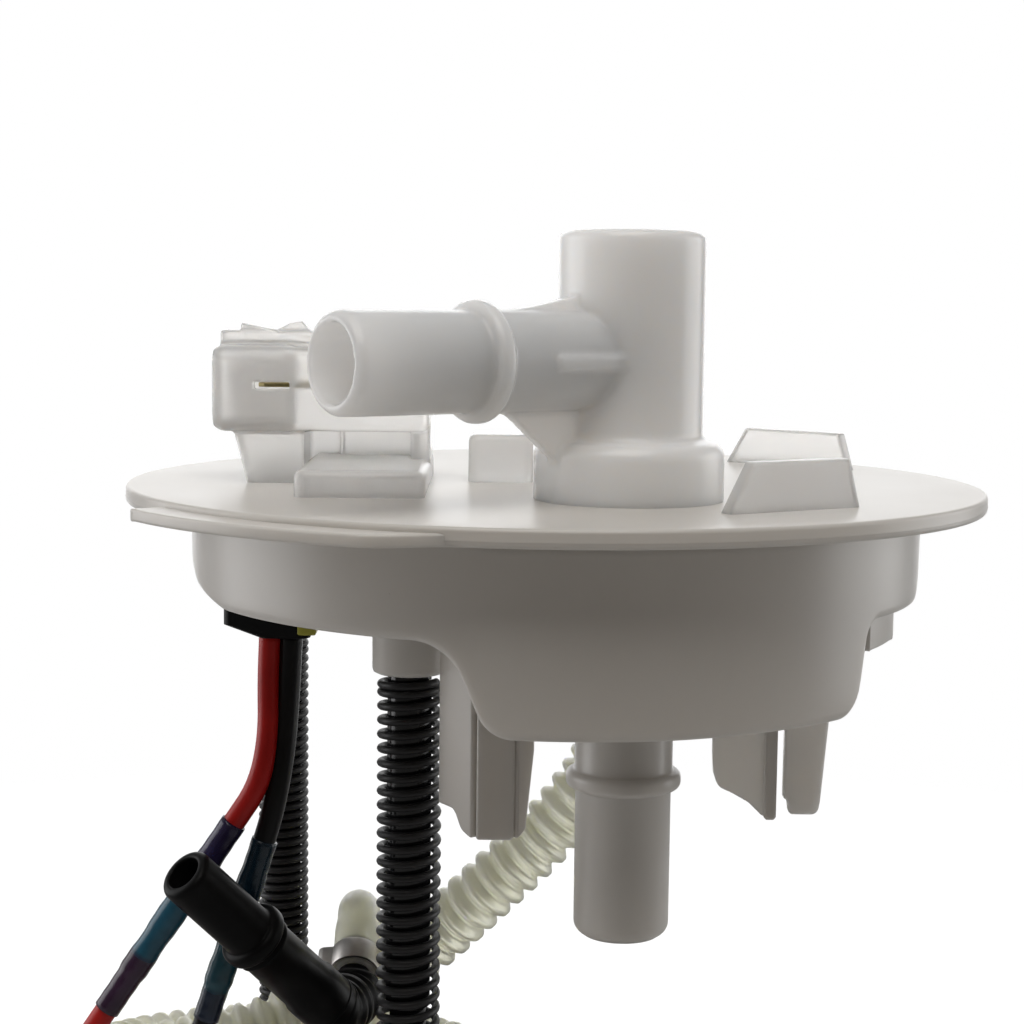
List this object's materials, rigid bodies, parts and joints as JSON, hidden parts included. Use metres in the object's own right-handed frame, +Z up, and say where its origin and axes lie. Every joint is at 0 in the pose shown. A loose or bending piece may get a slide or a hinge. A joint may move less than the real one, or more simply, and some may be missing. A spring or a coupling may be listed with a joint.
{
  "type": "fuel pump module",
  "caption": "White tank flange with a vent spigot column, sprung guide rods, corrugated hose and a reservoir pot with pump and level sender.",
  "frame": {"origin": "axis of the round tank flange at the top face of its rim", "axes": "+Z up out of the tank along the flange axis, -Y the front that the vent spigot leans towards, +X right"},
  "size_m": [0.1904, 0.1544, 0.2503],
  "materials": {
    "pom_white": "moulded white acetal, slightly see-through at thin edges",
    "pa_black": "moulded black nylon with a soft sheen",
    "lock_yellow": "moulded yellow nylon",
    "brass": "stamped brass blades",
    "steel": "plain zinc-free steel, slightly brown",
    "rod_black": "round rod with a smooth black coat",
    "spring_dark": "dark phosphated spring wire",
    "carbon": "dull dark carbon and ferrite",
    "rotor": "stacked steel core with lacquered windings",
    "rubber": "black fuel-proof rubber",
    "strainer_mesh": "fine woven nylon mesh",
    "ceramic": "printed resistor card",
    "float_foam": "closed-cell black nitrile foam",
    "wire_red": "red wire insulation",
    "wire_black": "black wire insulation",
    "sleeve_blue": "blue see-through heat-shrink sleeve",
    "hose_pale": "pale yellow-green see-through nylon tube"
  },
  "bodies": {
    "flange": {"flange_plate": "pom_white", "vent_housing": "pom_white", "bottom_spigot": "pom_white", "valve_cage": "pom_white", "valve_spring": "spring_dark", "connector_body": "pom_white", "connector_terminals": "brass", "harness_plug": "pa_black", "plug_lock": "lock_yellow", "guide_rod_front": "rod_black", "guide_rod_rear": "rod_black", "rod_clip_front": "steel", "rod_clip_rear": "steel", "spring_front": "spring_dark", "spring_rear": "spring_dark", "red_wire_upper": "wire_red", "red_wire_lower": "wire_red", "black_wire_upper": "wire_black", "black_wire_lower": "wire_black", "splice_red": "sleeve_blue", "splice_black": "sleeve_blue", "feed_hose": "hose_pale"},
    "reservoir": {"reservoir_pot": "pom_white", "reservoir_lid": "pom_white", "pump_shell": "steel", "pump_cap": "pa_black", "pump_inlet": "pa_black", "pump_brushes": "carbon", "pump_magnets": "carbon", "pump_isolator": "rubber", "strainer": "strainer_mesh", "outlet_elbow": "pa_black", "pump_plug": "pa_black", "umbrella_valve": "rubber", "sender_body": "pom_white", "sender_card": "ceramic", "line_hose": "hose_pale", "hose_clamp": "steel", "line_fitting": "pa_black"},
    "rotor": {"pump_rotor": "rotor", "pump_impeller": "pa_black"},
    "vent_float": {"valve_float": "pom_white"},
    "sender_arm": {"arm_hub": "pom_white", "float_arm": "steel", "level_float": "float_foam"}
  },
  "joints": [
    {"name": "reservoir_slide", "type": "slide", "parent": "flange", "child": "reservoir", "axis": [0, 0, 1], "range_m": [0, 0.035], "stiffness_N_per_m": 300, "springref_m": -0.05, "deforming": ["spring_front", "spring_rear", "red_wire_upper", "red_wire_lower", "black_wire_upper", "black_wire_lower", "splice_red", "splice_black", "feed_hose"]},
    {"name": "rotor_spin", "type": "hinge", "parent": "reservoir", "child": "rotor", "pos_m": [0.016, 0.002, -0.165], "axis": [0, 0, 1], "continuous": true},
    {"name": "vent_float_slide", "type": "slide", "parent": "flange", "child": "vent_float", "axis": [0, 0, 1], "range_m": [0, 0.004], "deforming": ["valve_spring"]},
    {"name": "sender_arm_swing", "type": "hinge", "parent": "reservoir", "child": "sender_arm", "pos_m": [0.004, 0.0515, -0.144], "axis": [0, -1, 0], "range_deg": [0, 75]}
  ]
}
